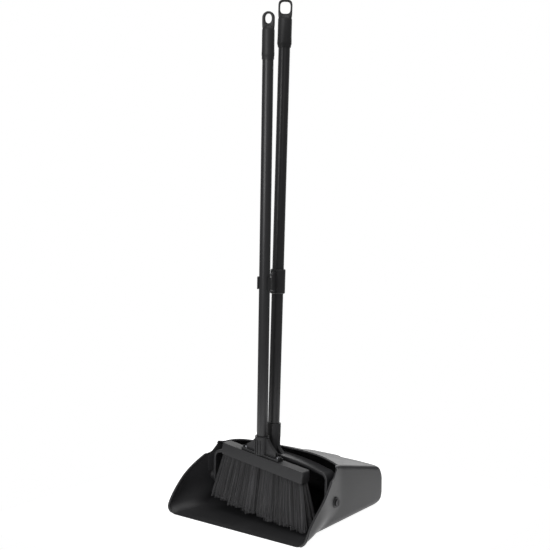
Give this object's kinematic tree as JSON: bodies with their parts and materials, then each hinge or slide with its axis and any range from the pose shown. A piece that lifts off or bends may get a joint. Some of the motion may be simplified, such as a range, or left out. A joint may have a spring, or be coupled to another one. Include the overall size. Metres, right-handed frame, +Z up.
{
  "type": "lobby dust pan and broom set",
  "caption": "Upright hooded dust pan on a long folding handle, with a long-handled angled broom clipped to it and standing in the pan's mouth.",
  "frame": {"origin": "middle of the pan's footprint on the floor, under the centre of its bounding box", "axes": "+Z up along the handles, -Y out of the pan's mouth, +X to the right as seen from in front of the mouth"},
  "size_m": [0.3292, 0.302, 0.9727],
  "materials": {
    "pan_plastic": "satin, moulded black",
    "hood_plastic": "satin, moulded black",
    "yoke_plastic": "satin, moulded black",
    "grip_plastic": "matt, moulded black",
    "clip_plastic": "satin, moulded black",
    "block_plastic": "matt, moulded black",
    "bristle": "matt drawn filament",
    "coated_tube": "satin black coating",
    "fastener": "zinc plated"
  },
  "bodies": {
    "pan": {"pan_body": "pan_plastic", "hood": "hood_plastic", "pivot_pin_left": "grip_plastic", "pivot_pin_right": "grip_plastic", "pivot_washer_left": "grip_plastic", "pivot_washer_right": "grip_plastic", "pivot_retainer_left": "fastener", "pivot_retainer_right": "fastener"},
    "handle": {"yoke": "yoke_plastic", "handle_tube": "coated_tube", "handle_insert": "block_plastic", "yoke_screw": "fastener", "handle_grip": "grip_plastic", "clip": "clip_plastic", "clip_screw": "fastener"},
    "broom": {"broom_block": "block_plastic", "broom_cap": "block_plastic", "cap_screw_left": "fastener", "cap_screw_right": "fastener", "broom_tube": "coated_tube", "broom_tube_insert": "block_plastic", "broom_grip": "grip_plastic", "bristles_front_left": "bristle", "bristles_front_right": "bristle", "bristles_middle_left": "bristle", "bristles_middle_right": "bristle", "bristles_rear_left": "bristle", "bristles_rear_right": "bristle"}
  },
  "joints": [
    {"name": "handle_fold", "type": "hinge", "parent": "pan", "child": "handle", "pos_m": [0, -0.03, 0.05], "axis": [1, 0, 0], "range_deg": [0, 75], "deforming": ["bristles_front_left", "bristles_front_right", "bristles_middle_left", "bristles_middle_right", "bristles_rear_left", "bristles_rear_right"]},
    {"name": "broom_lift", "type": "slide", "parent": "handle", "child": "broom", "axis": [0.0204, 0, 0.9998], "range_m": [0, 0.22]}
  ]
}
